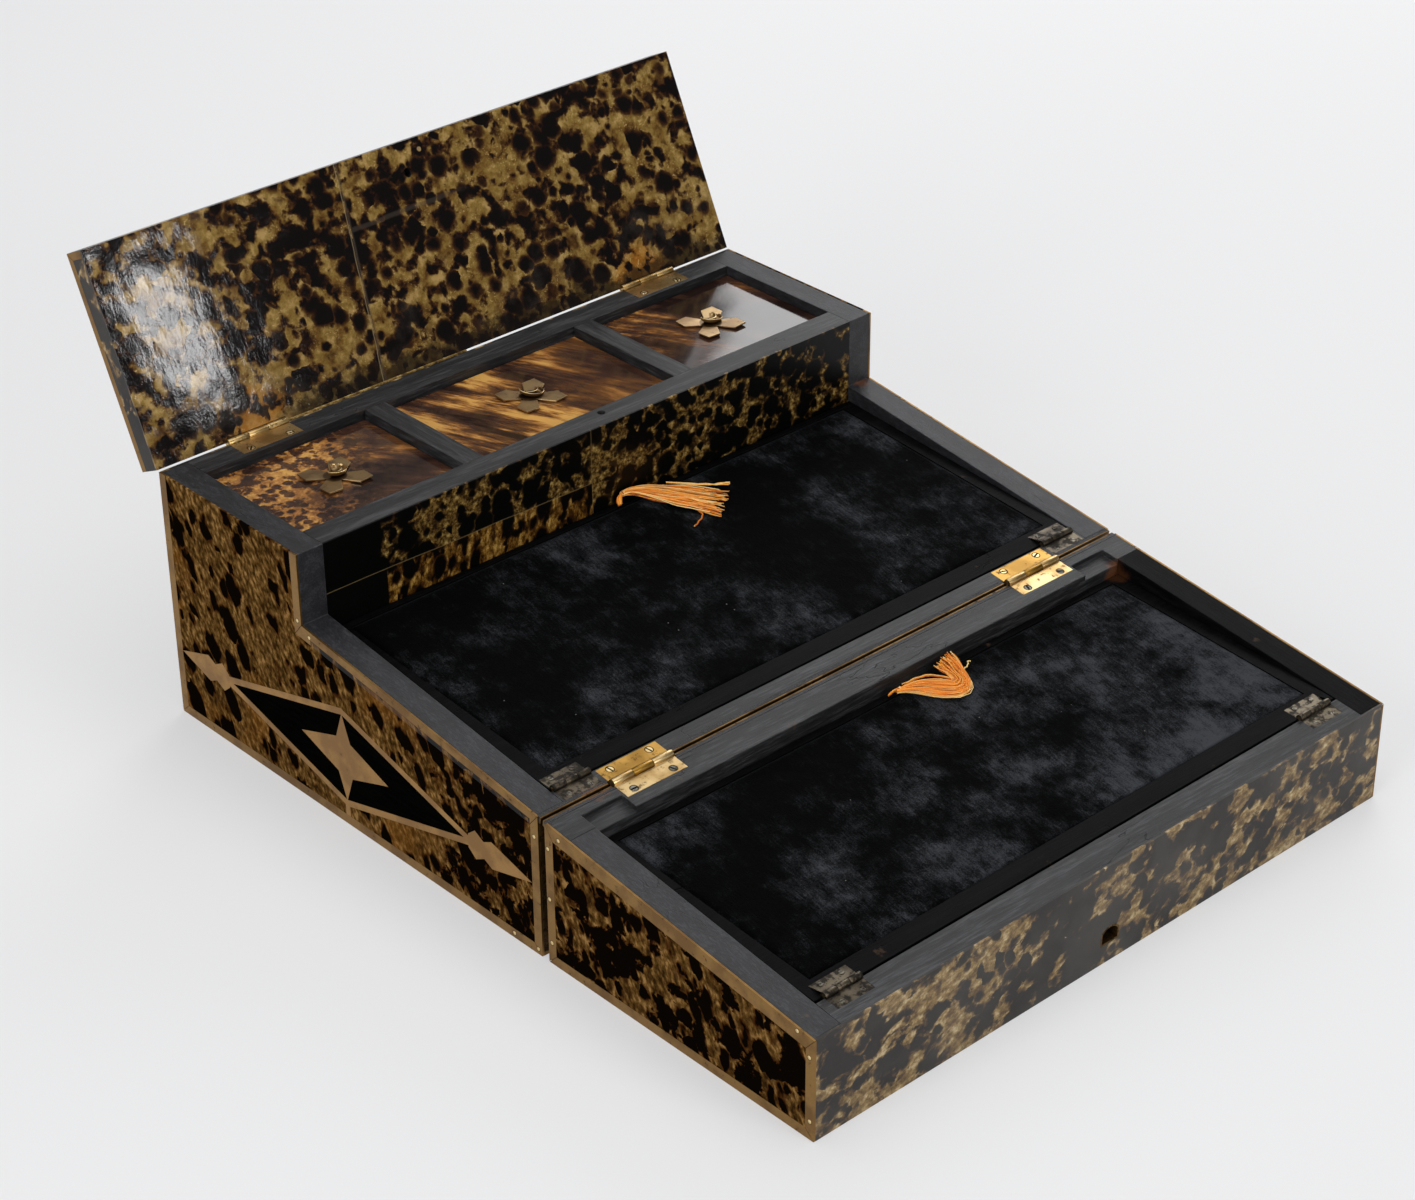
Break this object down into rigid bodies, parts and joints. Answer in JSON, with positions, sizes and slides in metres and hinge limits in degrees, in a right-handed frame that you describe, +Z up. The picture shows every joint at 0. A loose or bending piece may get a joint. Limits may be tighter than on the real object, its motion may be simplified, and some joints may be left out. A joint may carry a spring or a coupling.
{
  "type": "portable writing slope",
  "caption": "Folding writing slope of ebonised wood and tortoiseshell with brass stringing, velvet writing flaps, a hinged rear panel and lidded wells under flower-shaped pulls.",
  "frame": {"origin": "middle of the underside of the base, on the surface it stands on", "axes": "+X to the right along the fold, +Y to the back, from the writer towards the tray block, +Z up"},
  "size_m": [0.4, 0.5535, 0.2532],
  "materials": {
    "ebonised_wood": "ebonised wood with a worn satin polish",
    "tortoiseshell": "mottled tortoiseshell veneer, polished",
    "ebony_inlay": "near-black polished inlay",
    "brass": "aged satin brass",
    "dull_brass": "blackened old brass",
    "velvet": "crushed black velvet",
    "silk": "orange silk floss"
  },
  "bodies": {
    "base": {"bottom_board": "ebonised_wood", "left_side_board": "ebonised_wood", "right_side_board": "ebonised_wood", "back_board": "ebonised_wood", "front_board": "ebonised_wood", "riser_board": "ebonised_wood", "left_divider": "ebonised_wood", "right_divider": "ebonised_wood", "inner_lid_ledges": "ebonised_wood", "upper_flap_ledges": "ebonised_wood", "left_side_veneer": "tortoiseshell", "right_side_veneer": "tortoiseshell", "back_veneer": "tortoiseshell", "front_veneer": "tortoiseshell", "riser_veneer": "tortoiseshell", "side_edge_strips": "brass", "front_edge_strips": "brass", "star_inlays": "brass", "star_fields": "ebony_inlay", "main_hinge_base_leaves": "brass", "panel_hinge_base_leaves": "brass", "upper_flap_hinge_rail_leaves": "dull_brass", "base_hinge_pins": "brass"},
    "writing_lid": {"lid_outer_board": "ebonised_wood", "lid_outer_veneer": "tortoiseshell", "lid_left_rail": "ebonised_wood", "lid_right_rail": "ebonised_wood", "lid_rear_rail": "ebonised_wood", "lid_front_rail": "ebonised_wood", "lid_side_veneers": "tortoiseshell", "lid_front_veneer": "tortoiseshell", "lid_rear_veneer": "tortoiseshell", "lid_edge_strips": "brass", "lid_flap_ledges": "ebonised_wood", "lid_catch_plate": "brass", "main_hinge_lid_leaves": "brass", "lower_flap_hinge_rail_leaves": "dull_brass", "lid_hinge_pins": "brass"},
    "rear_panel": {"panel_board": "ebonised_wood", "panel_inner_veneer": "tortoiseshell", "panel_outer_veneer": "tortoiseshell", "panel_edge_veneers": "tortoiseshell", "panel_edge_strips": "brass", "panel_hinge_leaves": "brass", "panel_pin": "brass"},
    "upper_flap": {"upper_flap_board": "ebonised_wood", "upper_flap_velvet": "velvet", "upper_flap_hinge_leaves": "dull_brass", "upper_tassel": "silk"},
    "lower_flap": {"lower_flap_board": "ebonised_wood", "lower_flap_velvet": "velvet", "lower_flap_hinge_leaves": "dull_brass", "lower_tassel": "silk"},
    "left_lid": {"left_inner_lid": "tortoiseshell", "left_pull": "brass"},
    "middle_lid": {"middle_inner_lid": "tortoiseshell", "middle_pull": "brass"},
    "right_lid": {"right_inner_lid": "tortoiseshell", "right_pull": "brass"}
  },
  "joints": [
    {"name": "lid_fold", "type": "hinge", "parent": "base", "child": "writing_lid", "pos_m": [0, -0.1525, 0.081], "axis": [1, 0, 0], "range_deg": [-180, 0]},
    {"name": "panel_fold", "type": "hinge", "parent": "base", "child": "rear_panel", "pos_m": [0, 0.151, 0.14585], "axis": [-1, 0, 0], "range_deg": [-115.5, 0]},
    {"name": "upper_flap_lift", "type": "hinge", "parent": "base", "child": "upper_flap", "pos_m": [0, -0.13905, 0.08308], "axis": [1, 0, 0], "range_deg": [0, 105]},
    {"name": "lower_flap_lift", "type": "hinge", "parent": "writing_lid", "child": "lower_flap", "pos_m": [0, -0.31875, 0.05938], "axis": [1, 0, 0], "range_deg": [0, 105]},
    {"name": "left_lid_lift", "type": "slide", "parent": "base", "child": "left_lid", "axis": [0, 0, 1], "range_m": [0, 0.06]},
    {"name": "middle_lid_lift", "type": "slide", "parent": "base", "child": "middle_lid", "axis": [0, 0, 1], "range_m": [0, 0.06]},
    {"name": "right_lid_lift", "type": "slide", "parent": "base", "child": "right_lid", "axis": [0, 0, 1], "range_m": [0, 0.06]}
  ]
}
